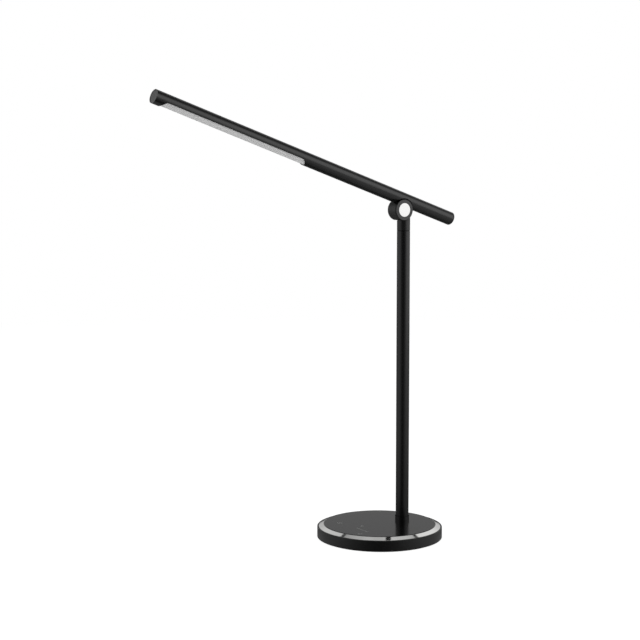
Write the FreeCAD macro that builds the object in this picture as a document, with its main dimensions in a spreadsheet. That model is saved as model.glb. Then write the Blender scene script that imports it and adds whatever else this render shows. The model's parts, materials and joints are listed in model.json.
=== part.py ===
import FreeCAD, Part
import math
import os
from types import SimpleNamespace

import Sketcher

doc = FreeCAD.newDocument("table_lamp")

# Sizes in millimetres and angles in degrees. Heights count from the table, radii from the piece's own axis.
numbers = {
    # base: foam pad, cover, weight, shell, bright ring and top panel
    "shell_radius": "75",
    "shell_wall": "2.4",
    "shell_edge": "0.4",
    "lip_wall": "1.95",
    "pad_thick": "1",
    "pad_margin": "0.5",
    "cover_thick": "2",
    "cover_fit": "0.1",
    "ballast_thick": "6.5",
    "ballast_margin": "1",
    "floor_thick": "1.8",
    "skirt_wall": "2",
    "seat_step": "1.2",
    "seat_thick": "1.8",
    "ring_fit": "0.05",
    "ring_wide": "5.8",
    "ring_drop": "0.35",
    "ring_fall": "2.75",
    "ring_foot": "1.6",
    "panel_fit": "0.1",
    "panel_thick": "2.8",
    "panel_edge": "0.5",
    # screws between cover and shell
    "boss_radius": "4.5",
    "boss_tall": "2.8",
    "boss_inset": "9",
    "boss_depth": "3.4",
    "boss_fit": "0.05",
    "screw_shank": "1.6",
    "screw_head": "3.5",
    "screw_head_tall": "1.2",
    "screw_gap": "0.1",
    "screw_tip_gap": "0.2",
    "screw_clear": "0.6",
    # touch controls under the floor
    "touch_radius": "8",
    "touch_thick": "0.2",
    "touch_margin": "4.05",
    "board_wide": "24",
    "board_thick": "1.6",
    "board_gap": "3.5",
    "board_room": "1.6",
    # low voltage inlet in the rear rim
    "jack_wide": "9",
    "jack_long": "12.5",
    "jack_gap": "0.3",
    "jack_bore": "3",
    "jack_depth": "10",
    "jack_pin": "1.05",
    "jack_pin_long": "9",
    "mouth_gap": "0.3",
    "jack_room": "0.6",
    # pole with its foot, collar and lead
    "pole_inset": "41",
    "pole_radius": "7.85",
    "pole_wall": "1",
    "plug_fit": "0.03",
    "collar_fit": "0.04",
    "collar_wall": "0.76",
    "collar_tall": "5",
    "collar_edge": "0.6",
    "foot_tall": "15",
    "stud_radius": "4",
    "stud_gap": "0.1",
    "stud_clear": "0.8",
    "washer_margin": "1.5",
    "washer_thick": "1.2",
    "nut_corner": "7.5",
    "nut_tall": "6",
    "nut_fit": "0.03",
    "nut_clear": "2",
    "wire_radius": "1.1",
    "wire_fit": "0.05",
    # swivel between pole and neck
    "bush_long": "18",
    "spigot_radius": "5",
    "spigot_tall": "9",
    "spigot_edge": "0.5",
    "slip_thick": "0.5",
    "slip_fit": "0.1",
    "slip_margin": "0.3",
    "neck_fit": "0.05",
    "neck_bore_gap": "0.3",
    "stop_height": "5",
    "stop_tip": "1.2",
    "stop_body": "1.5",
    "stop_fit": "0.05",
    "stop_gap": "0.2",
    "stop_shoulder_gap": "0.25",
    "stop_sunk": "0.3",
    "stop_key": "0.8",
    "stop_key_deep": "1.2",
    "groove_deep": "1.2",
    "groove_gap": "0.2",
    "groove_arc": "218",
    # tilt joint: tongue of the neck and barrel of the arm
    "hub_height": "392.5",
    "hub_shift": "5",
    "hub_radius": "12.35",
    "hub_edge": "0.4",
    "neck_under": "12.65",
    "horn_rise": "3.85",
    "cope_gap": "0.3",
    "tongue_thick": "6",
    "eye_radius": "4.9",
    "eye_gap": "0.4",
    "stem_near": "2.9",
    "stem_far": "8.4",
    "stem_sunk": "1.85",
    "stem_shoulder": "4.5",
    "stem_top": "0.9",
    "stem_inset": "0.2",
    "stem_gap": "0.3",
    "cheek_thick": "0.95",
    "back_wall": "1.65",
    "pivot_radius": "2",
    "pivot_fit": "0.05",
    "pivot_spare": "0.2",
    "pivot_head": "3.5",
    "pivot_head_tall": "2.3",
    "pivot_head_gap": "0.3",
    "pivot_key": "1.7",
    "pivot_key_deep": "1.3",
    "friction_thick": "0.5",
    "friction_gap": "0.1",
    "rest_tilt": "18.8",
    "tilt_up": "45.5",
    "tilt_down": "-20.5",
    "bezel_thick": "1.6",
    "bezel_edge": "0.3",
    "cap_radius": "8.3",
    "cap_fit": "0.05",
    "cap_proud": "0.15",
    "cap_edge": "0.35",
    # arm tube with its light
    "arm_radius": "8",
    "arm_wall": "0.95",
    "tube_gap": "0.3",
    "saddle_fit": "0.03",
    "lamp_reach": "350.2",
    "tail_reach": "76.3",
    "tail_flange": "2.5",
    "tail_round": "1.3",
    "tail_plug": "10",
    "end_fit": "0.05",
    "end_plug_long": "5",
    "end_inset": "0.25",
    "end_edge": "0.3",
    "slot_start": "9.1",
    "slot_end": "202.6",
    "slot_margin": "0.2",
    "slot_level": "2.62",
    "lens_fit": "0.05",
    "lens_wall": "1.2",
    "lens_gap": "0.1",
    "lens_lap": "3.4",
    "strip_low": "1",
    "strip_thick": "1",
    "strip_gap": "0.05",
    "chip_wide": "2.8",
    "chip_tall": "0.7",
    "chip_inset": "4.9",
    "chip_count": "24",
    "lead_hole": "1.8",
    "lead_along": "5.4",
    "lead_low": "1",
    "lead_bend": "3",
    "lead_clear": "4.2",
    "lead_lap": "6",
}
overrun = 40.0  # how far a cut runs past the solid that it opens
half_share = 0.5
hex_share = math.sqrt(3) / 2
full_turn = 360.0
quarter_turn = 90.0

sheet = doc.addObject("Spreadsheet::Sheet", "dims")
for row, (word, text) in enumerate(numbers.items(), 1):
    sheet.set(f"A{row}", word)
    sheet.set(f"B{row}", text)
    sheet.setAlias(f"B{row}", word)
doc.recompute()


class Size:
    # A length that knows its value and how it follows from the sheet.
    def __init__(self, text, value):
        self.text = text
        self.value = value

    def __add__(self, other):
        return Size(f"({self.text} + {other.text})", self.value + other.value)

    def __sub__(self, other):
        return Size(f"({self.text} - {other.text})", self.value - other.value)

    def __neg__(self):
        return Size(f"(-1 * {self.text})", -self.value)

    def __mul__(self, share):
        return Size(f"({self.text} * {share!r})", self.value * share)


size = SimpleNamespace(**{word: Size(f"dims.{word}", float(text)) for word, text in numbers.items()})
cut_length = Size(str(overrun), overrun)


def half(length):
    return length * half_share


def chord(radius, distance):
    # Half the chord that lies at this distance from the circle's centre.
    value = math.sqrt(radius.value ** 2 - distance.value ** 2)
    return Size(f"sqrt({radius.text} ^ 2 - {distance.text} ^ 2)", value)


# Base: radii from the rim inwards, heights from the table up
size.shell_inside = size.shell_radius - size.shell_wall
size.lip_inside = size.shell_radius - size.lip_wall
size.ring_outside = size.lip_inside - size.ring_fit
size.ring_inside = size.ring_outside - size.ring_wide
size.panel_radius = size.ring_inside - size.panel_fit
size.floor_radius = size.ring_inside - size.seat_step
size.floor_inside = size.floor_radius - size.skirt_wall
size.cover_radius = size.shell_inside - size.cover_fit
size.pad_radius = size.cover_radius - size.pad_margin
size.ballast_radius = size.cover_radius - size.ballast_margin
size.boss_circle = size.floor_inside - size.boss_inset
size.pad_top = size.pad_thick
size.cover_top = size.pad_top + size.cover_thick
size.ballast_top = size.cover_top + size.ballast_thick
size.floor_under = size.ballast_top + size.boss_tall
size.floor_top = size.floor_under + size.floor_thick
size.panel_top = size.floor_top + size.panel_thick
size.ring_top = size.panel_top - size.ring_drop
size.lip_top = size.ring_top - size.ring_fall
size.seat_height = size.lip_top - size.ring_foot
size.seat_under = size.seat_height - size.seat_thick
size.screw_recess = size.screw_head_tall + size.screw_gap

# Touch board: behind the front boss, as long as the skirt leaves room for
size.board_side = half(size.board_wide)
size.touch_along = size.boss_radius + size.board_gap + size.board_side - size.boss_circle
size.board_half = chord(size.floor_inside - size.board_room, size.board_side - size.touch_along)
size.touch_pitch = size.board_half - size.touch_radius - size.touch_margin

# Inlet
size.jack_front = size.shell_inside - size.jack_gap
size.jack_tall = size.seat_under - size.cover_top
size.jack_axis = size.cover_top + half(size.jack_tall)

# Pole and swivel
size.pole_along = size.shell_radius - size.pole_inset
size.pole_inside = size.pole_radius - size.pole_wall
size.plug_radius = size.pole_inside - size.plug_fit
size.collar_inside = size.pole_radius + size.collar_fit
size.collar_radius = size.collar_inside + size.collar_wall
size.stud_room = size.stud_radius + size.stud_gap
size.stud_bottom = size.cover_top + size.stud_clear
size.washer_radius = size.nut_corner + size.washer_margin
size.nut_bore = size.stud_radius + size.nut_fit
size.nut_room = size.washer_radius + size.nut_clear
size.wire_bore = size.wire_radius + size.wire_fit
size.slip_inside = size.spigot_radius + size.slip_fit
size.slip_radius = size.pole_radius - size.slip_margin
size.neck_bore = size.spigot_radius + size.neck_fit
size.groove_radius = size.spigot_radius - size.groove_deep
size.groove_half = size.stop_tip + size.groove_gap
size.stop_bore = size.stop_body + size.stop_fit
size.stop_inner = size.groove_radius + size.stop_gap
size.stop_shoulder = size.neck_bore + size.stop_shoulder_gap
size.stop_outer = size.pole_radius - size.stop_sunk

# Tilt joint: the barrel is as long as what is stacked on its pivot
size.hub_rise = size.hub_radius + size.neck_under
size.neck_low = size.hub_height - size.hub_rise
size.pole_top = size.neck_low - size.slip_thick
size.hub_along = size.pole_along - size.hub_shift
size.stem_low = size.hub_radius + size.cope_gap + size.stem_sunk
size.stem_root = size.eye_radius - size.stem_inset
size.tongue_side = half(size.tongue_thick)
size.eye_side = size.tongue_side + size.friction_thick
size.pivot_bore = size.pivot_radius + size.pivot_fit
size.pivot_recess = size.pivot_head_tall + size.pivot_head_gap
size.pivot_head_room = size.pivot_head + size.pivot_head_gap
size.head_foot = size.eye_side + size.cheek_thick
size.front_face = size.head_foot + size.pivot_recess
size.hub_half = size.front_face + size.bezel_thick
size.pivot_back = size.hub_half - size.back_wall
size.friction_inside = size.pivot_radius + size.friction_gap
size.friction_radius = size.eye_radius - size.friction_gap
size.bezel_inside = size.cap_radius + size.cap_fit
size.cap_face = size.hub_half + size.cap_proud

# Arm: lengths from the end with the light
size.arm_rise = size.eye_radius + size.tube_gap + size.arm_radius
size.arm_inside = size.arm_radius - size.arm_wall
size.saddle_radius = size.arm_radius + size.saddle_fit
size.end_plug_radius = size.arm_inside - size.end_fit
size.slot_round = size.arm_radius - size.slot_margin
size.lens_radius = size.arm_inside - size.lens_fit
size.lens_inside = size.lens_radius - size.lens_wall
size.lens_start = size.end_plug_long + size.lens_gap
size.lens_end = size.slot_end + size.lens_lap
size.strip_top = size.strip_low + size.strip_thick
size.strip_half = chord(size.arm_inside - size.strip_gap, size.strip_top)
size.chip_first = size.slot_start + size.chip_inset
size.chip_run = size.slot_end - size.chip_inset - size.chip_first
size.lead_near = size.lead_along - size.lead_hole
size.lead_far = size.lead_along + size.lead_hole
size.lead_foot = size.arm_rise - size.lead_clear


def turned(across, up, angle):
    # The point after a turn about the origin, angle counted from X towards Y.
    wave = f"({angle.text} * 1 deg)"
    cosine = math.cos(math.radians(angle.value))
    sine = math.sin(math.radians(angle.value))
    across_value = across.value * cosine - up.value * sine
    up_value = across.value * sine + up.value * cosine
    new_across = Size(f"({across.text} * cos{wave} - {up.text} * sin{wave})", across_value)
    new_up = Size(f"({across.text} * sin{wave} + {up.text} * cos{wave})", up_value)
    return new_across, new_up


def new_body(label):
    body = doc.addObject("PartDesign::Body", label)
    body.Label = label
    return body


def new_sketch(body, role, label, lift=None):
    # A sketch on one of the body's own planes, lifted along that plane's normal.
    plane = [item for item in body.Origin.OriginFeatures if item.Role == role][0]
    sketch = body.newObject("Sketcher::SketchObject", f"{body.Label}_{label}_sketch")
    sketch.AttachmentSupport = [(plane, "")]
    sketch.MapMode = "FlatFace"
    if lift is not None:
        sketch.setExpression("AttachmentOffset.Base.z", lift.text)
    return sketch


def number(coordinate):
    return 0.0 if coordinate is None else coordinate.value


def spot(across, up):
    return FreeCAD.Vector(number(across), number(up), 0)


def hold_point(sketch, geometry, point, across, up):
    # A missing coordinate lies on the axis.
    if across is None:
        sketch.addConstraint(Sketcher.Constraint("PointOnObject", geometry, point, -2))
    else:
        held = sketch.addConstraint(Sketcher.Constraint("DistanceX", -1, 1, geometry, point, across.value))
        sketch.setExpression(f"Constraints[{held}]", across.text)
    if up is None:
        sketch.addConstraint(Sketcher.Constraint("PointOnObject", geometry, point, -1))
    else:
        held = sketch.addConstraint(Sketcher.Constraint("DistanceY", -1, 1, geometry, point, up.value))
        sketch.setExpression(f"Constraints[{held}]", up.text)


def hold_radius(sketch, geometry, radius):
    held = sketch.addConstraint(Sketcher.Constraint("Radius", geometry, radius.value))
    sketch.setExpression(f"Constraints[{held}]", radius.text)


def outline(sketch, corners):
    # A closed run of straight edges through the corners.
    first = sketch.GeometryCount
    count = len(corners)
    for i in range(count):
        start = spot(*corners[i])
        end = spot(*corners[(i + 1) % count])
        sketch.addGeometry(Part.LineSegment(start, end), False)
    for i in range(count):
        follower = first + (i + 1) % count
        sketch.addConstraint(Sketcher.Constraint("Coincident", first + i, 2, follower, 1))
    for i, corner in enumerate(corners):
        hold_point(sketch, first + i, 1, *corner)


def circle(sketch, radius, across=None, up=None):
    shape = Part.Circle(spot(across, up), FreeCAD.Vector(0, 0, 1), radius.value)
    drawn = sketch.addGeometry(shape, False)
    hold_radius(sketch, drawn, radius)
    hold_point(sketch, drawn, 3, across, up)


def hexagon(sketch, corner):
    near = half(corner)
    tall = corner * hex_share
    outline(sketch, [(corner, None), (near, tall), (-near, tall),
                     (-corner, None), (-near, -tall), (near, -tall)])


def rectangle(sketch, left, right, low, high):
    outline(sketch, [(left, low), (right, low), (right, high), (left, high)])


def add_feature(body, kind, label, sketch):
    feature = body.newObject(kind, f"{body.Label}_{label}")
    feature.Profile = sketch
    sketch.Visibility = False
    return feature


def pad(body, sketch, label, length, both_ways=False):
    feature = add_feature(body, "PartDesign::Pad", label, sketch)
    feature.setExpression("Length", length.text)
    if both_ways:
        feature.SideType = "Symmetric"
    doc.recompute()
    return feature


def check_cut(body, label, before):
    doc.recompute()
    if body.Shape.Volume >= before:
        raise ValueError(f"{body.Label}: {label} removes nothing")


def pocket(body, sketch, label, length, both_ways=False, along_normal=False):
    before = body.Shape.Volume
    feature = add_feature(body, "PartDesign::Pocket", label, sketch)
    feature.setExpression("Length", length.text)
    if both_ways:
        feature.SideType = "Symmetric"
    feature.Reversed = along_normal
    check_cut(body, label, before)


def spin(label, corners, role="XZ_Plane", axis="V_Axis"):
    # A turned piece: the half section goes once round the axis of its sketch.
    body = new_body(label)
    sketch = new_sketch(body, role, "section")
    outline(sketch, corners)
    feature = add_feature(body, "PartDesign::Revolution", "turn", sketch)
    feature.ReferenceAxis = (sketch, [axis])
    feature.Angle = full_turn
    doc.recompute()
    return body


def washer(label, inside, outside, low, high):
    return spin(label, [(inside, low), (outside, low), (outside, high), (inside, high)])


# Base, seen from the table upwards
base_pad = spin("base_pad", [(None, None), (size.pad_radius, None), (size.pad_radius, size.pad_top),
                             (None, size.pad_top)])

sixth = 60.0
screw_angles = {"cover_screw_front": 3 * sixth, "cover_screw_left": -sixth, "cover_screw_right": sixth}


def on_screw_circle(angle):
    across = size.boss_circle * math.cos(math.radians(angle))
    up = size.boss_circle * math.sin(math.radians(angle))
    return across, up if angle % (3 * sixth) else None


base_cover = spin("base_cover", [(None, size.pad_top), (size.cover_radius, size.pad_top),
                                 (size.cover_radius, size.cover_top), (None, size.cover_top)])
recesses = new_sketch(base_cover, "XY_Plane", "recess", size.pad_top)
shank_holes = new_sketch(base_cover, "XY_Plane", "shank_hole", size.pad_top)
for angle in screw_angles.values():
    circle(recesses, size.screw_head + size.screw_gap, *on_screw_circle(angle))
    circle(shank_holes, size.screw_shank + size.screw_gap, *on_screw_circle(angle))
pocket(base_cover, recesses, "recess", size.screw_recess, along_normal=True)
pocket(base_cover, shank_holes, "shank_hole", cut_length, along_normal=True)

ballast_plate = spin("ballast_plate", [(None, size.cover_top), (size.ballast_radius, size.cover_top),
                                       (size.ballast_radius, size.ballast_top), (None, size.ballast_top)])
holes = new_sketch(ballast_plate, "XY_Plane", "hole")
circle(holes, size.nut_room, size.pole_along)
for angle in screw_angles.values():
    circle(holes, size.screw_shank + size.screw_clear, *on_screw_circle(angle))
pocket(ballast_plate, holes, "hole", cut_length, along_normal=True)
jack_half = half(size.jack_wide) + size.jack_room
notch = new_sketch(ballast_plate, "XY_Plane", "notch")
rectangle(notch, size.jack_front - size.jack_long - size.jack_room, size.jack_front + cut_length,
          -jack_half, jack_half)
pocket(ballast_plate, notch, "notch", cut_length, along_normal=True)

base_shell = spin("base_shell", [
    (None, size.floor_under),
    (size.floor_inside, size.floor_under),
    (size.floor_inside, size.seat_under),
    (size.shell_inside, size.seat_under),
    (size.shell_inside, size.pad_top),
    (size.shell_radius - size.shell_edge, size.pad_top),
    (size.shell_radius, size.pad_top + size.shell_edge),
    (size.shell_radius, size.lip_top - size.shell_edge),
    (size.shell_radius - size.shell_edge, size.lip_top),
    (size.lip_inside, size.lip_top),
    (size.lip_inside, size.seat_height),
    (size.floor_radius, size.seat_height),
    (size.floor_radius, size.floor_top),
    (None, size.floor_top),
])
bosses = new_sketch(base_shell, "XY_Plane", "boss", size.ballast_top)
boss_bores = new_sketch(base_shell, "XY_Plane", "boss_bore", size.ballast_top)
for angle in screw_angles.values():
    circle(bosses, size.boss_radius, *on_screw_circle(angle))
    circle(boss_bores, size.screw_shank + size.boss_fit, *on_screw_circle(angle))
pad(base_shell, bosses, "boss", size.boss_tall + half(size.floor_thick))
pocket(base_shell, boss_bores, "boss_bore", size.boss_depth, along_normal=True)
stud_hole = new_sketch(base_shell, "XY_Plane", "stud_hole")
circle(stud_hole, size.stud_room, size.pole_along)
pocket(base_shell, stud_hole, "stud_hole", cut_length, along_normal=True)
mouth = new_sketch(base_shell, "YZ_Plane", "mouth", size.floor_inside)
circle(mouth, size.jack_bore + size.mouth_gap, None, size.jack_axis)
pocket(base_shell, mouth, "mouth", cut_length, along_normal=True)

bevel_ring = spin("bevel_ring", [(size.ring_inside, size.seat_height), (size.ring_outside, size.seat_height),
                                 (size.ring_outside, size.lip_top), (size.ring_inside, size.ring_top)])

top_panel = spin("top_panel", [
    (None, size.floor_top),
    (size.panel_radius, size.floor_top),
    (size.panel_radius, size.panel_top - size.panel_edge),
    (size.panel_radius - size.panel_edge, size.panel_top),
    (None, size.panel_top),
])
panel_hole = new_sketch(top_panel, "XY_Plane", "stud_hole")
circle(panel_hole, size.stud_room, size.pole_along)
pocket(top_panel, panel_hole, "stud_hole", cut_length, along_normal=True)

# Screws through cover and weight into the shell
for label, angle in screw_angles.items():
    head_top = size.pad_top + size.screw_recess
    head_low = head_top - size.screw_head_tall
    tip = size.ballast_top + size.boss_depth - size.screw_tip_gap
    screw = spin(label, [(None, head_low), (size.screw_head, head_low), (size.screw_head, head_top),
                         (size.screw_shank, head_top), (size.screw_shank, tip), (None, tip)])
    across, up = on_screw_circle(angle)
    screw.Placement = FreeCAD.Placement(spot(across, up), FreeCAD.Rotation())

# Touch board with one sensor pad under each mark
board_top = size.floor_under - size.touch_thick
control_board = new_body("control_board")
board_sketch = new_sketch(control_board, "XY_Plane", "board", board_top - size.board_thick)
rectangle(board_sketch, size.touch_along - size.board_side, size.touch_along + size.board_side,
          -size.board_half, size.board_half)
pad(control_board, board_sketch, "board", size.board_thick)
for label, place in {"touch_pad_left": size.touch_pitch, "touch_pad_mid": None,
                     "touch_pad_right": -size.touch_pitch}.items():
    touch_pad = new_body(label)
    touch_sketch = new_sketch(touch_pad, "XY_Plane", "disc", board_top)
    circle(touch_sketch, size.touch_radius, size.touch_along, place)
    pad(touch_pad, touch_sketch, "disc", size.touch_thick)

# Low voltage inlet: housing with a blind bore, and its centre pin
dc_jack = new_body("dc_jack")
jack_sketch = new_sketch(dc_jack, "YZ_Plane", "housing", size.jack_front - size.jack_long)
jack_side = half(size.jack_wide)
rectangle(jack_sketch, -jack_side, jack_side, size.cover_top, size.cover_top + size.jack_tall)
pad(dc_jack, jack_sketch, "housing", size.jack_long)
jack_bore = new_sketch(dc_jack, "YZ_Plane", "bore", size.jack_front)
circle(jack_bore, size.jack_bore, None, size.jack_axis)
pocket(dc_jack, jack_bore, "bore", size.jack_depth)
pin_foot = size.jack_front - size.jack_depth
pin_tip = pin_foot + size.jack_pin_long
dc_pin = spin("dc_pin", [
    (pin_foot, None),
    (pin_tip, None),
    (pin_tip, size.jack_pin),
    (pin_foot, size.jack_pin),
], axis="H_Axis")
dc_pin.Placement = FreeCAD.Placement(FreeCAD.Vector(0, 0, size.jack_axis.value), FreeCAD.Rotation())

# Pole: its pieces turn about the pole's axis and stand beside the middle of the base
pole_place = FreeCAD.Placement(spot(size.pole_along, None), FreeCAD.Rotation())

pole_tube = washer("pole_tube", size.pole_inside, size.pole_radius, size.panel_top, size.pole_top)
collar_top = size.panel_top + size.collar_tall
pole_collar = spin("pole_collar", [
    (size.collar_inside, size.panel_top),
    (size.collar_radius, size.panel_top),
    (size.collar_radius, collar_top - size.collar_edge),
    (size.collar_radius - size.collar_edge, collar_top),
    (size.collar_inside, collar_top),
])
foot_top = size.panel_top + size.foot_tall
pole_foot = spin("pole_foot", [
    (size.wire_bore, size.stud_bottom),
    (size.stud_radius, size.stud_bottom),
    (size.stud_radius, size.panel_top),
    (size.plug_radius, size.panel_top),
    (size.plug_radius, foot_top),
    (size.wire_bore, foot_top),
])
washer_low = size.floor_under - size.washer_thick
pole_washer = washer("pole_washer", size.stud_room, size.washer_radius, washer_low, size.floor_under)
pole_nut = new_body("pole_nut")
nut_sketch = new_sketch(pole_nut, "XY_Plane", "hexagon", washer_low - size.nut_tall)
hexagon(nut_sketch, size.nut_corner)
circle(nut_sketch, size.nut_bore)
pad(pole_nut, nut_sketch, "hexagon", size.nut_tall)

spigot_top = size.pole_top + size.spigot_tall
swivel_bush = spin("swivel_bush", [
    (size.wire_bore, size.pole_top - size.bush_long),
    (size.plug_radius, size.pole_top - size.bush_long),
    (size.plug_radius, size.pole_top),
    (size.spigot_radius, size.pole_top),
    (size.spigot_radius, spigot_top - size.spigot_edge),
    (size.spigot_radius - size.spigot_edge, spigot_top),
    (size.wire_bore, spigot_top),
])
# the groove for the stop screw runs part of the way round, centred on the rear
stop_level = size.pole_top + size.stop_height
groove_sketch = new_sketch(swivel_bush, "XZ_Plane", "stop_groove")
rectangle(groove_sketch, size.groove_radius, size.spigot_radius + size.stop_body,
          stop_level - size.groove_half, stop_level + size.groove_half)
before_groove = swivel_bush.Shape.Volume
groove = add_feature(swivel_bush, "PartDesign::Groove", "stop_groove", groove_sketch)
groove.ReferenceAxis = (groove_sketch, ["V_Axis"])
groove.setExpression("Angle", size.groove_arc.text)
groove.Midplane = True
check_cut(swivel_bush, "stop_groove", before_groove)

swivel_washer = washer("swivel_washer", size.slip_inside, size.slip_radius, size.pole_top, size.neck_low)
pole_wire = spin("pole_wire", [(None, size.stud_bottom), (size.wire_radius, size.stud_bottom),
                               (size.wire_radius, spigot_top), (None, spigot_top)])
for piece in (pole_tube, pole_collar, pole_foot, pole_washer, pole_nut,
              swivel_bush, swivel_washer, pole_wire):
    piece.Placement = pole_place

# Neck: a post that turns on the spigot, hollowed to clear the barrel, with a tongue up to the pivot
neck_spot = FreeCAD.Vector(size.pole_along.value, 0, size.neck_low.value)
neck_place = FreeCAD.Placement(neck_spot, FreeCAD.Rotation())
hub_across = -size.hub_shift
neck = new_body("neck")
post_sketch = new_sketch(neck, "XY_Plane", "post")
circle(post_sketch, size.pole_radius)
pad(neck, post_sketch, "post", size.neck_under + size.horn_rise)
cope_sketch = new_sketch(neck, "XZ_Plane", "cope")
circle(cope_sketch, size.hub_radius + size.cope_gap, hub_across, size.hub_rise)
pocket(neck, cope_sketch, "cope", cut_length, both_ways=True)
bore_sketch = new_sketch(neck, "XY_Plane", "spigot_bore")
circle(bore_sketch, size.neck_bore)
neck_bore_deep = size.spigot_tall - size.slip_thick + size.neck_bore_gap
pocket(neck, bore_sketch, "spigot_bore", neck_bore_deep, along_normal=True)
tongue_sketch = new_sketch(neck, "XZ_Plane", "tongue")
outline(tongue_sketch, [
    (hub_across + size.stem_near, size.hub_rise - size.stem_low),
    (hub_across + size.stem_far, size.hub_rise - size.stem_low),
    (hub_across + size.stem_far, size.hub_rise - size.stem_shoulder),
    (hub_across + size.stem_root, size.hub_rise - size.stem_top),
    (hub_across + size.stem_near, size.hub_rise - size.stem_top),
])
pad(neck, tongue_sketch, "tongue", size.tongue_thick, both_ways=True)
eye_sketch = new_sketch(neck, "XZ_Plane", "eye")
circle(eye_sketch, size.eye_radius, hub_across, size.hub_rise)
pad(neck, eye_sketch, "eye", size.tongue_thick, both_ways=True)
eye_bore = new_sketch(neck, "XZ_Plane", "eye_bore")
circle(eye_bore, size.pivot_bore, hub_across, size.hub_rise)
pocket(neck, eye_bore, "eye_bore", size.tongue_thick + size.tongue_thick, both_ways=True)
neck_lead = new_sketch(neck, "XY_Plane", "lead_bore")
circle(neck_lead, size.wire_bore)
pocket(neck, neck_lead, "lead_bore", cut_length, along_normal=True)
stop_rise = stop_level - size.neck_low
stop_hole = new_sketch(neck, "YZ_Plane", "stop_hole")
circle(stop_hole, size.stop_bore, None, stop_rise)
pocket(neck, stop_hole, "stop_hole", cut_length, along_normal=True)
neck.Placement = neck_place

stop_screw = spin("stop_screw", [
    (size.stop_inner, None),
    (size.stop_outer, None),
    (size.stop_outer, size.stop_body),
    (size.stop_shoulder, size.stop_body),
    (size.stop_shoulder, size.stop_tip),
    (size.stop_inner, size.stop_tip),
], axis="H_Axis")
stop_key = new_sketch(stop_screw, "YZ_Plane", "key", size.stop_outer)
hexagon(stop_key, size.stop_key)
pocket(stop_screw, stop_key, "key", size.stop_key_deep)
stop_screw.Placement = neck_place.multiply(
    FreeCAD.Placement(FreeCAD.Vector(0, 0, stop_rise.value), FreeCAD.Rotation()))

neck_lead_low = neck_bore_deep
neck_lead_top = size.hub_rise - size.stem_top
neck_wire = spin("neck_wire", [(None, neck_lead_low), (size.wire_radius, neck_lead_low),
                               (size.wire_radius, neck_lead_top), (None, neck_lead_top)])
neck_wire.Placement = neck_place

# Arm: X runs along the tube to its tail, Y is up, Z points to the front; the barrel's axis is Z
rest_turn = FreeCAD.Rotation(FreeCAD.Vector(0, 1, 0), size.rest_tilt.value)
side_turn = FreeCAD.Rotation(FreeCAD.Vector(1, 0, 0), quarter_turn)
hub_place = FreeCAD.Placement(FreeCAD.Vector(size.hub_along.value, 0, size.hub_height.value),
                              rest_turn.multiply(side_turn))
tube_place = hub_place.multiply(FreeCAD.Placement(spot(None, size.arm_rise), FreeCAD.Rotation()))

knuckle_barrel = spin("knuckle_barrel", [
    (None, -size.hub_half),
    (size.hub_radius - size.hub_edge, -size.hub_half),
    (size.hub_radius, size.hub_edge - size.hub_half),
    (size.hub_radius, size.front_face),
    (None, size.front_face),
])
eye_room = new_sketch(knuckle_barrel, "XY_Plane", "eye_room")
circle(eye_room, size.eye_radius + size.eye_gap)
pocket(knuckle_barrel, eye_room, "eye_room", size.eye_side + size.eye_side, both_ways=True)
# the slot lets the tongue pass from one end of the tilt to the other
slot_low = -half(cut_length)
near_wall = size.stem_near - size.stem_gap
far_wall = size.stem_far + size.stem_gap
tongue_slot = new_sketch(knuckle_barrel, "XY_Plane", "tongue_slot")
outline(tongue_slot, [
    turned(near_wall, slot_low, size.tilt_down),
    turned(near_wall, -half(size.eye_radius), size.tilt_down),
    turned(size.stem_root, size.stem_gap - size.stem_top, size.tilt_up),
    turned(far_wall, size.stem_gap - size.stem_shoulder, size.tilt_up),
    turned(far_wall, slot_low, size.tilt_up),
    (half(cut_length), -cut_length),
])
pocket(knuckle_barrel, tongue_slot, "tongue_slot", size.eye_side + size.eye_side, both_ways=True)
saddle = new_sketch(knuckle_barrel, "YZ_Plane", "saddle")
circle(saddle, size.saddle_radius, size.arm_rise)
pocket(knuckle_barrel, saddle, "saddle", cut_length, both_ways=True)
head_room = new_sketch(knuckle_barrel, "XY_Plane", "head_room", size.front_face)
circle(head_room, size.pivot_head_room)
pocket(knuckle_barrel, head_room, "head_room", size.pivot_recess)
pivot_hole = new_sketch(knuckle_barrel, "XY_Plane", "pivot_hole", size.front_face)
circle(pivot_hole, size.pivot_bore)
pocket(knuckle_barrel, pivot_hole, "pivot_hole", size.front_face + size.pivot_back + size.pivot_spare)
lead_way = new_sketch(knuckle_barrel, "XY_Plane", "lead_way")
rectangle(lead_way, size.lead_near, size.lead_far, -size.lead_low, size.arm_rise)
pocket(knuckle_barrel, lead_way, "lead_way", size.lead_hole + size.lead_hole, both_ways=True)

bezel_ring = spin("bezel_ring", [
    (size.bezel_inside, size.front_face),
    (size.hub_radius - size.bezel_edge, size.front_face),
    (size.hub_radius, size.front_face + size.bezel_edge),
    (size.hub_radius, size.hub_half - size.bezel_edge),
    (size.hub_radius - size.bezel_edge, size.hub_half),
    (size.bezel_inside + size.bezel_edge, size.hub_half),
    (size.bezel_inside, size.hub_half - size.bezel_edge),
])
bezel_saddle = new_sketch(bezel_ring, "YZ_Plane", "saddle")
circle(bezel_saddle, size.saddle_radius, size.arm_rise)
pocket(bezel_ring, bezel_saddle, "saddle", cut_length, both_ways=True)

cap_disc = spin("cap_disc", [
    (None, size.front_face),
    (size.cap_radius, size.front_face),
    (size.cap_radius, size.cap_face - size.cap_edge),
    (size.cap_radius - size.cap_edge, size.cap_face),
    (None, size.cap_face),
])

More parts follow.
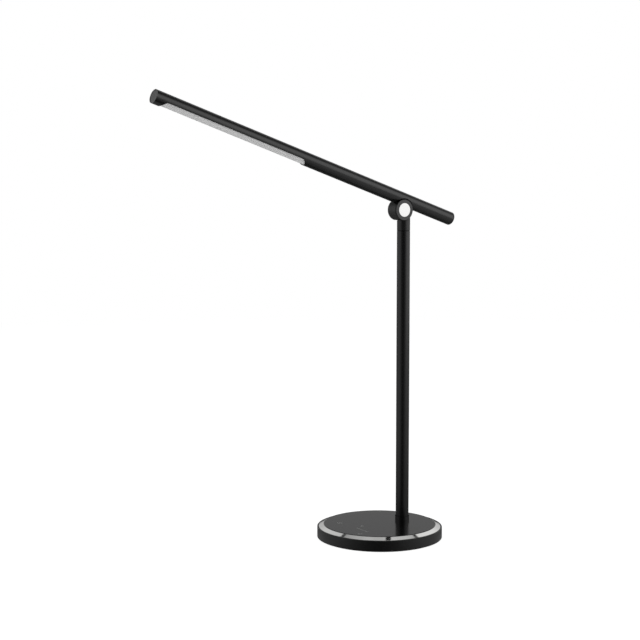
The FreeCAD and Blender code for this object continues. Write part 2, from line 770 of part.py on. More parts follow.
head_face = size.head_foot + size.pivot_head_tall
pivot_screw = spin("pivot_screw", [
    (None, -size.pivot_back),
    (size.pivot_radius, -size.pivot_back),
    (size.pivot_radius, size.head_foot),
    (size.pivot_head, size.head_foot),
    (size.pivot_head, head_face),
    (None, head_face),
])
pivot_key = new_sketch(pivot_screw, "XY_Plane", "key", head_face)
hexagon(pivot_key, size.pivot_key)
pocket(pivot_screw, pivot_key, "key", size.pivot_key_deep)

friction_front = washer("friction_washer_front", size.friction_inside, size.friction_radius,
                        size.tongue_side, size.eye_side)
friction_rear = washer("friction_washer_rear", size.friction_inside, size.friction_radius,
                       -size.eye_side, -size.tongue_side)
for piece in (knuckle_barrel, bezel_ring, cap_disc, pivot_screw, friction_front, friction_rear):
    piece.Placement = hub_place

# Tube with the long rounded opening along its underside
arm_tube = new_body("arm_tube")
tube_sketch = new_sketch(arm_tube, "YZ_Plane", "section", -size.lamp_reach)
circle(tube_sketch, size.arm_radius)
circle(tube_sketch, size.arm_inside)
pad(arm_tube, tube_sketch, "section", size.lamp_reach + size.tail_reach - size.tail_flange)
slot_sketch = new_sketch(arm_tube, "XZ_Plane", "light_slot", size.slot_level)
near_end = size.slot_start + size.slot_round - size.lamp_reach
far_end = size.slot_end - size.slot_round - size.lamp_reach
half_turn = math.pi
up_axis = FreeCAD.Vector(0, 0, 1)
near_arc = Part.ArcOfCircle(Part.Circle(spot(near_end, None), up_axis, size.slot_round.value),
                            half_turn / 2, half_turn * 3 / 2)
far_arc = Part.ArcOfCircle(Part.Circle(spot(far_end, None), up_axis, size.slot_round.value),
                           -half_turn / 2, half_turn / 2)
low_side = Part.LineSegment(spot(near_end, -size.slot_round), spot(far_end, -size.slot_round))
high_side = Part.LineSegment(spot(far_end, size.slot_round), spot(near_end, size.slot_round))
for drawn in (near_arc, low_side, far_arc, high_side):
    slot_sketch.addGeometry(drawn, False)
for one, two in ((0, 1), (1, 2), (2, 3), (3, 0)):
    slot_sketch.addConstraint(Sketcher.Constraint("Tangent", one, 2, two, 1))
hold_radius(slot_sketch, 0, size.slot_round)
hold_point(slot_sketch, 0, 3, near_end, None)
hold_point(slot_sketch, 2, 3, far_end, None)
pocket(arm_tube, slot_sketch, "light_slot", cut_length, along_normal=True)
lead_hole = new_sketch(arm_tube, "XZ_Plane", "lead_hole")
circle(lead_hole, size.lead_hole, size.lead_along)
pocket(arm_tube, lead_hole, "lead_hole", cut_length, along_normal=True)

lamp_face = size.end_inset - size.lamp_reach
lamp_inner = size.end_plug_long - size.lamp_reach
lamp_end_cap = spin("lamp_end_cap", [
    (lamp_face, None),
    (lamp_face, size.end_plug_radius - size.end_edge),
    (lamp_face + size.end_edge, size.end_plug_radius),
    (lamp_inner, size.end_plug_radius),
    (lamp_inner, None),
], role="XY_Plane", axis="H_Axis")

tail_seat = size.tail_reach - size.tail_flange
tail_inner = tail_seat - size.tail_plug
tail_end_cap = new_body("tail_end_cap")
tail_sketch = new_sketch(tail_end_cap, "XY_Plane", "section")
tail_shoulder = size.tail_reach - size.tail_round
tail_flat = size.arm_radius - size.tail_round
tail_circle = Part.Circle(spot(tail_shoulder, tail_flat), up_axis, size.tail_round.value)
tail_runs = [
    Part.LineSegment(spot(tail_inner, None), spot(tail_inner, size.end_plug_radius)),
    Part.LineSegment(spot(tail_inner, size.end_plug_radius), spot(tail_seat, size.end_plug_radius)),
    Part.LineSegment(spot(tail_seat, size.end_plug_radius), spot(tail_seat, size.arm_radius)),
    Part.LineSegment(spot(tail_seat, size.arm_radius), spot(tail_shoulder, size.arm_radius)),
    Part.ArcOfCircle(tail_circle, 0, half_turn / 2),
    Part.LineSegment(spot(size.tail_reach, tail_flat), spot(size.tail_reach, None)),
    Part.LineSegment(spot(size.tail_reach, None), spot(tail_inner, None)),
]
for drawn in tail_runs:
    tail_sketch.addGeometry(drawn, False)
for one, two in ((0, 1), (1, 2), (2, 3), (5, 6), (6, 0)):
    tail_sketch.addConstraint(Sketcher.Constraint("Coincident", one, 2, two, 1))
tail_sketch.addConstraint(Sketcher.Constraint("Tangent", 3, 2, 4, 2))
tail_sketch.addConstraint(Sketcher.Constraint("Tangent", 4, 1, 5, 1))
hold_point(tail_sketch, 0, 1, tail_inner, None)
hold_point(tail_sketch, 1, 1, tail_inner, size.end_plug_radius)
hold_point(tail_sketch, 2, 1, tail_seat, size.end_plug_radius)
hold_point(tail_sketch, 3, 1, tail_seat, size.arm_radius)
hold_point(tail_sketch, 6, 1, size.tail_reach, None)
hold_point(tail_sketch, 4, 3, tail_shoulder, tail_flat)
tail_turn = add_feature(tail_end_cap, "PartDesign::Revolution", "turn", tail_sketch)
tail_turn.ReferenceAxis = (tail_sketch, ["H_Axis"])
tail_turn.Angle = full_turn
doc.recompute()

# Light: strip across the tube, chips on its underside, half round lens below
lens_low = size.lens_start - size.lamp_reach
lens_long = size.lens_end - size.lens_start
diffuser = new_body("diffuser")
lens_sketch = new_sketch(diffuser, "YZ_Plane", "section", lens_low)
circle(lens_sketch, size.lens_radius)
circle(lens_sketch, size.lens_inside)
pad(diffuser, lens_sketch, "section", lens_long)
lens_top = new_sketch(diffuser, "YZ_Plane", "top", lens_low)
rectangle(lens_top, size.strip_low, size.strip_low + cut_length, -cut_length, cut_length)
pocket(diffuser, lens_top, "top", lens_long, along_normal=True)

led_board = new_body("led_board")
strip_sketch = new_sketch(led_board, "YZ_Plane", "section", lens_low)
rectangle(strip_sketch, size.strip_low, size.strip_top, -size.strip_half, size.strip_half)
pad(led_board, strip_sketch, "section", lens_long)

led_chips = new_body("led_chips")
chip_sketch = new_sketch(led_chips, "XZ_Plane", "chip", -size.strip_low)
chip_half = half(size.chip_wide)
chip_middle = size.chip_first - size.lamp_reach
rectangle(chip_sketch, chip_middle - chip_half, chip_middle + chip_half, -chip_half, chip_half)
chip_pad = pad(led_chips, chip_sketch, "chip", size.chip_tall)
chip_row = led_chips.newObject("PartDesign::LinearPattern", "led_chips_row")
chip_row.Originals = [chip_pad]
chip_row.Direction = (chip_sketch, ["H_Axis"])
chip_row.setExpression("Length", size.chip_run.text)
chip_row.setExpression("Occurrences", size.chip_count.text)
led_chips.Tip = chip_row
doc.recompute()

# Lead from the neck up through the tube's underside and along to the strip
wire_level = size.strip_top + size.wire_radius
bend_low = wire_level - size.lead_bend
bend_along = size.lead_along - size.lead_bend
wire_end = size.lens_end - size.lead_lap - size.lamp_reach
arm_wire = new_body("arm_wire")
wire_path = new_sketch(arm_wire, "XY_Plane", "path")
bend_circle = Part.Circle(spot(bend_along, bend_low), up_axis, size.lead_bend.value)
path_runs = [
    Part.LineSegment(spot(size.lead_along, -size.lead_foot), spot(size.lead_along, bend_low)),
    Part.ArcOfCircle(bend_circle, 0, half_turn / 2),
    Part.LineSegment(spot(bend_along, wire_level), spot(wire_end, wire_level)),
]
for drawn in path_runs:
    wire_path.addGeometry(drawn, False)
wire_path.addConstraint(Sketcher.Constraint("Tangent", 0, 2, 1, 1))
wire_path.addConstraint(Sketcher.Constraint("Tangent", 1, 2, 2, 1))
hold_point(wire_path, 0, 1, size.lead_along, -size.lead_foot)
hold_point(wire_path, 1, 3, bend_along, bend_low)
hold_point(wire_path, 2, 2, wire_end, wire_level)
wire_path.addConstraint(Sketcher.Constraint("Vertical", 0))
wire_section = new_sketch(arm_wire, "XZ_Plane", "section", size.lead_foot)
circle(wire_section, size.wire_radius, size.lead_along)
wire_sweep = add_feature(arm_wire, "PartDesign::AdditivePipe", "sweep", wire_section)
wire_sweep.Spine = (wire_path, ["Edge1", "Edge2", "Edge3"])
doc.recompute()
for piece in (arm_tube, lamp_end_cap, tail_end_cap, diffuser, led_board, led_chips, arm_wire):
    piece.Placement = tube_place

doc.recompute()
failed = [item.Label for item in doc.Objects if "Invalid" in item.State or "Error" in item.State]
if failed:
    raise RuntimeError(f"objects that did not build: {failed}")
pieces = [item for item in doc.Objects if item.TypeId == "PartDesign::Body"]
for piece in pieces:
    if piece.Shape.isNull() or not piece.Shape.isValid():
        raise RuntimeError(f"bad shape: {piece.Label}")
os.makedirs("parts", exist_ok=True)
for piece in pieces:
    piece.Shape.exportStep(f"parts/{piece.Label}.step")
    print(piece.Label, len(piece.Shape.Solids), round(piece.Shape.Volume, 2))
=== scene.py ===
import json
import math

import bmesh
import bpy
from mathutils import Matrix, Vector


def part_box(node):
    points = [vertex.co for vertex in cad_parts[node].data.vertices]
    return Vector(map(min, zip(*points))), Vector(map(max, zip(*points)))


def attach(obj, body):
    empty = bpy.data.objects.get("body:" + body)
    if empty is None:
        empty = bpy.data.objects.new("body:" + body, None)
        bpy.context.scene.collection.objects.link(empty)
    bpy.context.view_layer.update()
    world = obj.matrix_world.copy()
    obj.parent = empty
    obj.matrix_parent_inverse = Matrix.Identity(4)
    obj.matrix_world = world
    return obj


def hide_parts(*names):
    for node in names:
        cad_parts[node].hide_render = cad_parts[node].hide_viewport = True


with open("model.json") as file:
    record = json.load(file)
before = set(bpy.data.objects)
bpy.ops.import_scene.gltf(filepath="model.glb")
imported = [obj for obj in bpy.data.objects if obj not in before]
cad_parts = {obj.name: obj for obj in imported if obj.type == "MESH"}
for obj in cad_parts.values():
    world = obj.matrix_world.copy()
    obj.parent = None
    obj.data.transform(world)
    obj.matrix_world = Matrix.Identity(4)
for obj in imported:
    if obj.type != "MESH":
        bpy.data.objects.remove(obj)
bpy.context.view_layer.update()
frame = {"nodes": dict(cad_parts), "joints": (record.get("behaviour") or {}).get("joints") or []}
nodes = frame["nodes"]
scene = bpy.context.scene
scene.view_settings.view_transform = "Standard"
mm = 0.001


def toLinear(hexText):
    # sRGB hex to linear, with full alpha
    parts = [int(hexText[i:i + 2], 16) / 255 for i in (1, 3, 5)]
    return [c / 12.92 if c <= 0.04045 else ((c + 0.055) / 1.055) ** 2.4 for c in parts] + [1.0]


def addNode(tree, kind, settings=None, inputs=None):
    # one node with its settings; an input is a plain value or another node's socket
    node = tree.nodes.new(kind)
    for key, value in (settings or {}).items():
        setattr(node, key, value)
    for key, value in (inputs or {}).items():
        if isinstance(value, bpy.types.NodeSocket):
            tree.links.new(value, node.inputs[key])
        else:
            node.inputs[key].default_value = value
    return node


def spanOf(name):
    # the lowest and the highest corner of a solid, in mm
    low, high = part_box(name)
    return Vector(low) / mm, Vector(high) / mm


# The two joints' places, in metres: turned and extruded finishes take their lines from them
jointAt = {joint["name"]: [float(v) for v in joint["pos_m"]] for joint in frame["joints"]}
poleAxis = (*jointAt["neck_swivel"][:2], 0.0)
hubAxis = tuple(jointAt["arm_tilt"])
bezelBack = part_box("bezel_ring")[1][1]
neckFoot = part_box("neck")[0][2]
armLean = math.radians(18.8)  # slope of the arm as photographed
armWay = (-math.cos(armLean), 0, math.sin(armLean))  # from the hub to the light end
ringScale = math.pi / 10  # wave texture scale at which one ring is one unit wide

# What all finishes share: detail of the patterns, their mix, and the share of a painted shadow line that is
# fully dark
wear = {"ringWobble": 0.4, "ringDetail": 1.0, "grainDetail": 2.0, "cloudDetail": 3.0, "grainShare": 0.5,
        "from": 0.3, "to": 0.7, "paintedShadowCore": 0.6}

# grain: size of the pattern, cloud: size of the slow change of tone, depth: height of the grain, all in mm
# rough: roughness of the least and the most worn places
# painted shadow: a line of painted shade without shine, at a radius from an axis or a plane; end: a colour
# past a distance along the arm
finishes = {
    # sprayed powder, baked: a soft orange peel that frays the edges of reflections
    "powder_coated_steel": {
        "dark": "#070707", "light": "#0c0c0c", "grain": (1.1, 1.1, 1.1), "cloud": 18,
        "rough": (0.20, 0.26), "depth": 0.003, "ior": 1.5},
    # die casting under satin paint: a little rougher than the tube, for the pattern of the mould, and a
    # painted shadow line at the foot, where it turns on the pole
    "painted_zinc_casting": {
        "dark": "#080808", "light": "#0d0d0d", "grain": (0.8, 0.8, 0.8), "cloud": 10,
        "rough": (0.30, 0.38), "depth": 0.005, "ior": 1.5,
        "painted_shadow": {"centre": (0, 0, neckFoot + 0.3 * mm), "across": (0, 0, 1), "radius": 0.0, "half": 0.35}},
    # the same casting at the hub, with a painted shadow line where the ring is pressed on
    "painted_zinc_barrel": {
        "dark": "#080808", "light": "#0d0d0d", "grain": (0.8, 0.8, 0.8), "cloud": 10,
        "rough": (0.34, 0.42), "depth": 0.005, "ior": 1.58,
        "painted_shadow": {"centre": (0, bezelBack + 0.2 * mm, 0), "across": (0, 1, 0), "radius": 0.0, "half": 0.4}},
    # extruded, blasted and anodised: long faint lines, a painted shadow line round the hub, a grey sawn end
    "anodised_extruded_aluminium": {
        "dark": "#060606", "light": "#0b0b0b", "grain": (60, 0.7, 0.7), "turn": (0, armLean, 0), "cloud": 25,
        "rough": (0.26, 0.31), "depth": 0.002, "ior": 1.57,
        "painted_shadow": {"centre": hubAxis, "across": (1, 0, 1), "radius": 13.1, "half": 0.9},
        "end": {"from": 350.15, "colour": "#3e3e3e"}},
    # turned ring, anodised black: rings round the hub that only show in the highlight
    "anodised_turned_aluminium": {
        "dark": "#080808", "light": "#0d0d0d", "grain": (0.45, 0.45, 0.45), "pattern": "rings", "along": "Y",
        "centre": hubAxis, "cloud": 12, "rough": (0.30, 0.38), "depth": 0.002, "ior": 1.62},
    # injection moulded, spark eroded tool: a fine even sand that scatters light
    "moulded_abs_black": {
        "dark": "#070707", "light": "#0b0b0b", "grain": (0.6, 0.6, 0.6), "cloud": 22,
        "rough": (0.36, 0.44), "depth": 0.006, "ior": 1.53},
    # the same sand on a greyer plastic: the plug at the end of the light
    "moulded_abs_grey": {
        "dark": "#3b3b3b", "light": "#424242", "grain": (0.5, 0.5, 0.5), "cloud": 6,
        "rough": (0.48, 0.58), "depth": 0.010, "ior": 1.53},
    # cast sheet, rubbed to a silk: mirrors what stands on it, softer with distance
    "silk_acrylic_black": {
        "dark": "#040404", "light": "#060606", "grain": (2.5, 2.5, 2.5), "cloud": 40,
        "rough": (0.16, 0.20), "depth": 0.0006, "ior": 1.37},
    # cut with a diamond tool: rings finer than the eye, drawn at 0.35 mm, on a mirror
    "diamond_cut_aluminium": {
        "dark": "#eeeeec", "light": "#f6f6f4", "grain": (0.35, 0.35, 0.35), "pattern": "rings", "along": "Z",
        "cloud": 9, "rough": (0.05, 0.09), "depth": 0.00012, "metal": 1.0},
    # spun and bright dipped: a clean white disc with faint rings
    "bright_dipped_aluminium": {
        "dark": "#d2d2d1", "light": "#d9d9d8", "grain": (0.5, 0.5, 0.5), "pattern": "rings", "along": "Y",
        "centre": hubAxis, "cloud": 4, "rough": (0.16, 0.22), "depth": 0.0006, "metal": 1.0},
    # light scattering sheet with a frosted face: milky, with no clear highlight
    "opal_polycarbonate": {
        "dark": "#b9b9b9", "light": "#bdbdbd", "grain": (0.9, 0.9, 0.9), "cloud": 12,
        "rough": (0.45, 0.50), "depth": 0.0008, "ior": 1.5},
    # closed cell foam, cut from sheet: small pits that swallow light
    "eva_foam_black": {
        "dark": "#0b0b0b", "light": "#171717", "grain": (0.7, 0.7, 0.7), "pattern": "cells", "cloud": 5,
        "rough": (0.75, 0.9), "depth": 0.06, "ior": 1.45},
    # rolled sheet, dipped black: thin, even paint
    "painted_steel_sheet": {
        "dark": "#101010", "light": "#181818", "grain": (1.4, 1.4, 1.4), "cloud": 30,
        "rough": (0.42, 0.52), "depth": 0.006, "ior": 1.5},
    # hot rolled plate, oiled: blotches of blue grey scale
    "rolled_steel_plate": {
        "dark": "#3a3d40", "light": "#5d5f60", "grain": (3, 0.8, 0.8), "cloud": 14,
        "rough": (0.38, 0.55), "depth": 0.01, "metal": 1.0},
    # zinc on turned steel: cool and a little cloudy
    "zinc_plated_steel": {
        "dark": "#a3a8ac", "light": "#c3c7c9", "grain": (0.5, 0.5, 0.5), "cloud": 3,
        "rough": (0.24, 0.36), "depth": 0.002, "metal": 1.0},
    # turned from bar: warm, with fine tool lines
    "turned_brass": {
        "dark": "#a98546", "light": "#c6a35c", "grain": (8, 8, 0.25), "cloud": 5,
        "rough": (0.22, 0.34), "depth": 0.001, "metal": 1.0},
    # rolled foil: soft pink, slightly tarnished
    "copper_foil": {
        "dark": "#a9674a", "light": "#c8805f", "grain": (5, 0.4, 0.4), "cloud": 4,
        "rough": (0.25, 0.4), "depth": 0.001, "metal": 1.0},
    # glass cloth in green resin: the weave shows as a fine mottle
    "glass_epoxy_board": {
        "dark": "#12402a", "light": "#1d5638", "grain": (0.6, 0.6, 5), "cloud": 8,
        "rough": (0.3, 0.42), "depth": 0.004, "ior": 1.55},
    # white solder mask over aluminium: glossy and faintly uneven
    "white_solder_mask": {
        "dark": "#d8d9d6", "light": "#e9eae7", "grain": (1.2, 1.2, 1.2), "cloud": 6,
        "rough": (0.22, 0.32), "depth": 0.002, "ior": 1.55},
    # phosphor in clear silicone: matt yellow grains
    "led_phosphor": {
        "dark": "#d9b23c", "light": "#ecca5c", "grain": (0.25, 0.25, 0.25), "cloud": 1.5,
        "rough": (0.35, 0.5), "depth": 0.004, "ior": 1.41},
    # extruded skin of a lead: waxy, with a slow ripple
    "pvc_wire_skin": {
        "dark": "#1c1c1d", "light": "#262627", "grain": (1.5, 1.5, 1.5), "cloud": 10,
        "rough": (0.38, 0.5), "depth": 0.008, "ior": 1.53},
    # silk screened mark: a thin matt film, a shade above the panel
    "screen_print_ink": {
        "dark": "#686868", "light": "#727272", "grain": (0.3, 0.3, 0.3), "cloud": 2,
        "rough": (0.3, 0.4), "depth": 0.001, "ior": 1.5},
}


def grainOf(tree, place, look):
    # the fine pattern, drawn in mm on the piece
    spot = addNode(tree, "ShaderNodeMapping", {"vector_type": "TEXTURE"}, {
        "Vector": place, "Location": look.get("centre", (0, 0, 0)), "Rotation": look.get("turn", (0, 0, 0)),
        "Scale": [size * mm for size in look["grain"]]}).outputs["Vector"]
    pattern = look.get("pattern", "noise")
    if pattern == "rings":
        return addNode(tree, "ShaderNodeTexWave", {
            "wave_type": "RINGS", "rings_direction": look["along"]}, {
            "Vector": spot, "Scale": ringScale, "Distortion": wear["ringWobble"],
            "Detail": wear["ringDetail"]}).outputs["Fac"]
    if pattern == "cells":
        return addNode(tree, "ShaderNodeTexVoronoi", inputs={
            "Vector": spot, "Scale": 1.0}).outputs["Distance"]
    return addNode(tree, "ShaderNodeTexNoise", inputs={
        "Vector": spot, "Scale": 1.0, "Detail": wear["grainDetail"]}).outputs["Fac"]


def paintedShadowLine(tree, place, painted_shadow):
    # painted shade: 1 in the line and 0 beside it, with a soft edge
    away = addNode(tree, "ShaderNodeVectorMath", {"operation": "SUBTRACT"}, {0: place, 1: painted_shadow["centre"]})
    across = addNode(tree, "ShaderNodeVectorMath", {"operation": "MULTIPLY"}, {
        0: away.outputs["Vector"], 1: painted_shadow["across"]})
    reach = addNode(tree, "ShaderNodeVectorMath", {"operation": "LENGTH"}, {0: across.outputs["Vector"]})
    off = addNode(tree, "ShaderNodeMath", {"operation": "SUBTRACT"}, {
        0: reach.outputs["Value"], 1: painted_shadow["radius"] * mm})
    side = addNode(tree, "ShaderNodeMath", {"operation": "ABSOLUTE"}, {0: off.outputs["Value"]})
    return addNode(tree, "ShaderNodeMapRange", {"interpolation_type": "SMOOTHSTEP"}, {
        "Value": side.outputs["Value"], "From Min": painted_shadow["half"] * wear["paintedShadowCore"] * mm,
        "From Max": painted_shadow["half"] * mm, "To Min": 1.0, "To Max": 0.0}).outputs["Result"]


def sawnEnd(tree, place, colour, end):
    # another colour past a distance along the arm
    away = addNode(tree, "ShaderNodeVectorMath", {"operation": "SUBTRACT"}, {0: place, 1: hubAxis})
    along = addNode(tree, "ShaderNodeVectorMath", {"operation": "DOT_PRODUCT"}, {
        0: away.outputs["Vector"], 1: armWay})
    face = addNode(tree, "ShaderNodeMath", {"operation": "GREATER_THAN"}, {
        0: along.outputs["Value"], 1: end["from"] * mm})
    return addNode(tree, "ShaderNodeMix", {"data_type": "RGBA"}, {
        "Factor": face.outputs["Value"], "A": colour, "B": toLinear(end["colour"])}).outputs["Result"]


def makeFinish(name, look):
    material = bpy.data.materials.new(name)
    material.use_nodes = True
    tree = material.node_tree
    tree.nodes.clear()
    shader = addNode(tree, "ShaderNodeBsdfPrincipled", inputs={"Metallic": look.get("metal", 0.0)})
    if "ior" in look:
        shader.inputs["IOR"].default_value = look["ior"]
    addNode(tree, "ShaderNodeOutputMaterial", inputs={"Surface": shader.outputs["BSDF"]})
    place = addNode(tree, "ShaderNodeTexCoord").outputs["Object"]
    grain = grainOf(tree, place, look)
    slow = addNode(tree, "ShaderNodeTexNoise", inputs={
        "Vector": place, "Scale": 1 / (look["cloud"] * mm), "Detail": wear["cloudDetail"]}).outputs["Fac"]
    worn = addNode(tree, "ShaderNodeMix", {"data_type": "FLOAT"}, {
        "Factor": wear["grainShare"], "A": slow, "B": grain}).outputs["Result"]
    colour = addNode(tree, "ShaderNodeMix", {"data_type": "RGBA"}, {
        "Factor": worn, "A": toLinear(look["dark"]), "B": toLinear(look["light"])}).outputs["Result"]
    rough = addNode(tree, "ShaderNodeMapRange", inputs={
        "Value": worn, "From Min": wear["from"], "From Max": wear["to"],
        "To Min": look["rough"][0], "To Max": look["rough"][1]})
    bump = addNode(tree, "ShaderNodeBump", inputs={
        "Height": grain, "Distance": look["depth"] * mm, "Strength": 1.0})
    if "painted_shadow" in look:
        # painted shade: a black metal mirrors nothing, and the export keeps a linked
        # Metallic
        tree.links.new(paintedShadowLine(tree, place, look["painted_shadow"]), shader.inputs["Metallic"])
    if "end" in look:
        colour = sawnEnd(tree, place, colour, look["end"])
    tree.links.new(colour, shader.inputs["Base Color"])
    tree.links.new(rough.outputs["Result"], shader.inputs["Roughness"])
    tree.links.new(bump.outputs["Normal"], shader.inputs["Normal"])
    return material


paint = {name: makeFinish(name, look) for name, look in finishes.items()}
print("finishes made:", len(paint))

finishOn = {
    "eva_foam_black": ["base_pad"],
    "painted_steel_sheet": ["base_cover"],
    "moulded_abs_black": ["base_shell", "dc_jack", "swivel_washer", "tail_end_cap"],
    "moulded_abs_grey": ["lamp_end_cap"],
    "rolled_steel_plate": ["ballast_plate"],
    "diamond_cut_aluminium": ["bevel_ring"],
    "silk_acrylic_black": ["top_panel"],
    "glass_epoxy_board": ["control_board"],
    "copper_foil": ["touch_pad_left", "touch_pad_mid", "touch_pad_right"],
    "zinc_plated_steel": [
        "cover_screw_front", "cover_screw_left", "cover_screw_right", "pole_foot", "pole_washer", "pole_nut",
        "stop_screw", "pivot_screw"],
    "turned_brass": ["dc_pin", "swivel_bush", "friction_washer_front", "friction_washer_rear"],
    "powder_coated_steel": ["pole_tube", "pole_collar"],
    "painted_zinc_casting": ["neck"],
    "painted_zinc_barrel": ["knuckle_barrel"],
    "anodised_turned_aluminium": ["bezel_ring"],
    "bright_dipped_aluminium": ["cap_disc"],
    "anodised_extruded_aluminium": ["arm_tube"],
    "white_solder_mask": ["led_board"],
    "led_phosphor": ["led_chips"],
    "opal_polycarbonate": ["diffuser"],
    "pvc_wire_skin": ["pole_wire", "neck_wire", "arm_wire"],
}
for finish, names in finishOn.items():
    for name in names:
        for holder in nodes[name].material_slots:
            holder.material = paint[finish]
print("finishes put on", sum(len(names) for names in finishOn.values()), "solids")


def newTree(name, wanted):
    # a geometry tree with named inputs; gives back the tree and its input sockets
    tree = bpy.data.node_groups.new(name, "GeometryNodeTree")
    for label, kind in wanted:
        tree.interface.new_socket(label, in_out="INPUT", socket_type=kind)
    tree.interface.new_socket("Piece", in_out="OUTPUT", socket_type="NodeSocketGeometry")
    return tree, addNode(tree, "NodeGroupInput").outputs


def endTree(tree, piece, finish):
    # realised, with its finish, because the export drops instances
    real = addNode(tree, "GeometryNodeRealizeInstances", inputs={"Geometry": piece})
    done = addNode(tree, "GeometryNodeSetMaterial", inputs={
        "Geometry": real.outputs["Geometry"], "Material": finish})
    addNode(tree, "NodeGroupOutput", inputs={"Piece": done.outputs["Geometry"]})
    return tree


# weld: doubles closer than this in mm become one; sharp: edges that bend more, in degrees, stay crisp
# support: how far from a corner its two helping points are, in edge radii
lathe = {"weld": 0.002, "sharp": 40.0, "support": 2.2}


def turnedTree():
    # spins a profile, drawn as radius and height, about its axis; corners are rounded first
    tree, given = newTree("turned_piece", [
        ("Profile", "NodeSocketGeometry"), ("Edge Radius", "NodeSocketFloat"),
        ("Edge Steps", "NodeSocketInt"), ("Segments", "NodeSocketInt"),
        ("Axis Point", "NodeSocketVector"), ("Axis Turn", "NodeSocketVector"),
        ("Finish", "NodeSocketMaterial")])
    drawn = addNode(tree, "GeometryNodeMeshToCurve", inputs={"Mesh": given["Profile"]})
    rounded = addNode(tree, "GeometryNodeFilletCurve", {"mode": "POLY"}, {
        "Curve": drawn.outputs["Curve"], "Count": given["Edge Steps"], "Radius": given["Edge Radius"],
        "Limit Radius": True})
    points = addNode(tree, "GeometryNodeCurveToPoints", {"mode": "EVALUATED"}, {
        "Curve": rounded.outputs["Curve"]}).outputs["Points"]
    # a sheet with a row for each point and a column for each step of the turn
    rows = addNode(tree, "GeometryNodeAttributeDomainSize", {"component": "POINTCLOUD"}, {
        "Geometry": points}).outputs["Point Count"]
    columns = addNode(tree, "ShaderNodeMath", {"operation": "ADD"}, {0: given["Segments"], 1: 1.0})
    sheet = addNode(tree, "GeometryNodeMeshGrid", inputs={
        "Vertices X": columns.outputs["Value"], "Vertices Y": rows})
    index = addNode(tree, "GeometryNodeInputIndex").outputs["Index"]
    row = addNode(tree, "ShaderNodeMath", {"operation": "MODULO"}, {0: index, 1: rows})
    part = addNode(tree, "ShaderNodeMath", {"operation": "DIVIDE"}, {0: index, 1: rows})
    column = addNode(tree, "ShaderNodeMath", {"operation": "FLOOR"}, {0: part.outputs["Value"]})
    turn = addNode(tree, "ShaderNodeMath", {"operation": "DIVIDE"}, {
        0: column.outputs["Value"], 1: given["Segments"]})
    angle = addNode(tree, "ShaderNodeMath", {"operation": "MULTIPLY"}, {
        0: turn.outputs["Value"], 1: math.tau}).outputs["Value"]
    # each point of the sheet goes to its place on the profile, turned by its column
    spot = addNode(tree, "GeometryNodeInputPosition").outputs["Position"]
    sampled = addNode(tree, "GeometryNodeSampleIndex", {"data_type": "FLOAT_VECTOR", "domain": "POINT"}, {
        "Geometry": points, "Value": spot, "Index": row.outputs["Value"]}).outputs["Value"]
    corner = addNode(tree, "ShaderNodeSeparateXYZ", inputs={"Vector": sampled}).outputs
    cosine = addNode(tree, "ShaderNodeMath", {"operation": "COSINE"}, {0: angle}).outputs["Value"]
    sine = addNode(tree, "ShaderNodeMath", {"operation": "SINE"}, {0: angle}).outputs["Value"]
    across = addNode(tree, "ShaderNodeMath", {"operation": "MULTIPLY"}, {0: corner["X"], 1: cosine})
    deep = addNode(tree, "ShaderNodeMath", {"operation": "MULTIPLY"}, {0: corner["X"], 1: sine})
    there = addNode(tree, "ShaderNodeCombineXYZ", inputs={
        "X": across.outputs["Value"], "Y": deep.outputs["Value"], "Z": corner["Z"]})
    spun = addNode(tree, "GeometryNodeSetPosition", inputs={
        "Geometry": sheet.outputs["Mesh"], "Position": there.outputs["Vector"]})
    closed = addNode(tree, "GeometryNodeMergeByDistance", inputs={
        "Geometry": spun.outputs["Geometry"], "Distance": lathe["weld"] * mm})
    smooth = addNode(tree, "GeometryNodeSetShadeSmooth", inputs={"Geometry": closed.outputs["Geometry"]})
    bend = addNode(tree, "GeometryNodeInputMeshEdgeAngle").outputs["Unsigned Angle"]
    sharp = addNode(tree, "ShaderNodeMath", {"operation": "GREATER_THAN"}, {
        0: bend, 1: math.radians(lathe["sharp"])})
    crisp = addNode(tree, "GeometryNodeSetShadeSmooth", {"domain": "EDGE"}, {
        "Geometry": smooth.outputs["Geometry"], "Selection": sharp.outputs["Value"], "Shade Smooth": False})
    placed = addNode(tree, "GeometryNodeTransform", inputs={
        "Geometry": crisp.outputs["Geometry"], "Translation": given["Axis Point"],
        "Rotation": given["Axis Turn"]})
    return endTree(tree, placed.outputs["Geometry"], given["Finish"])


def printedTree():
    # lays a thin flat film of ink along drawn lines
    tree, given = newTree("printed_mark", [
        ("Lines", "NodeSocketGeometry"), ("Line Width", "NodeSocketFloat"), ("Film", "NodeSocketFloat"),
        ("Finish", "NodeSocketMaterial")])
    drawn = addNode(tree, "GeometryNodeMeshToCurve", inputs={"Mesh": given["Lines"]})
    section = addNode(tree, "GeometryNodeCurvePrimitiveQuadrilateral", {"mode": "RECTANGLE"}, {
        "Width": given["Line Width"], "Height": given["Film"]})
    level = addNode(tree, "GeometryNodeSetCurveNormal", {"mode": "Z_UP"}, {"Curve": drawn.outputs["Curve"]})
    film = addNode(tree, "GeometryNodeCurveToMesh", inputs={
        "Curve": level.outputs["Curve"], "Profile Curve": section.outputs["Curve"], "Fill Caps": True})
    return endTree(tree, film.outputs["Mesh"], given["Finish"])


